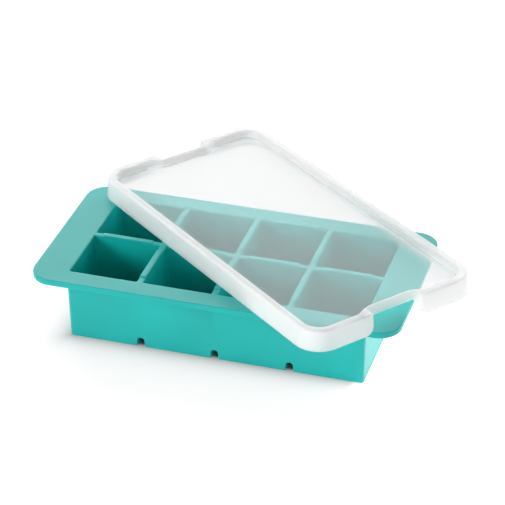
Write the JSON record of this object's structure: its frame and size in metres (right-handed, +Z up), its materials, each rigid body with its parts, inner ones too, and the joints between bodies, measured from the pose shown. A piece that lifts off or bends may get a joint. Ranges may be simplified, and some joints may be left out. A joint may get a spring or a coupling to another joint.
{
  "type": "ice cube tray with lid",
  "caption": "Soft moulded tray of square drafted ice cube cells under a wide flat rim, with a loose translucent lid that has a raised border and grip notches, lying askew on the rim.",
  "frame": {"origin": "middle of the tray's underside, on the surface it stands on", "axes": "+X along the tray, +Y across it towards its rear, +Z up out of the cells' mouths"},
  "size_m": [0.2343, 0.2066, 0.0543],
  "materials": {
    "tray": "matte moulded silicone",
    "lid": "frosted translucent"
  },
  "bodies": {
    "tray": {"tray": "tray"},
    "lid": {"lid": "lid"}
  },
  "joints": [
    {"name": "lid_lift", "type": "slide", "parent": "tray", "child": "lid", "axis": [0, 0, 1], "range_m": [0, 0.08]}
  ]
}
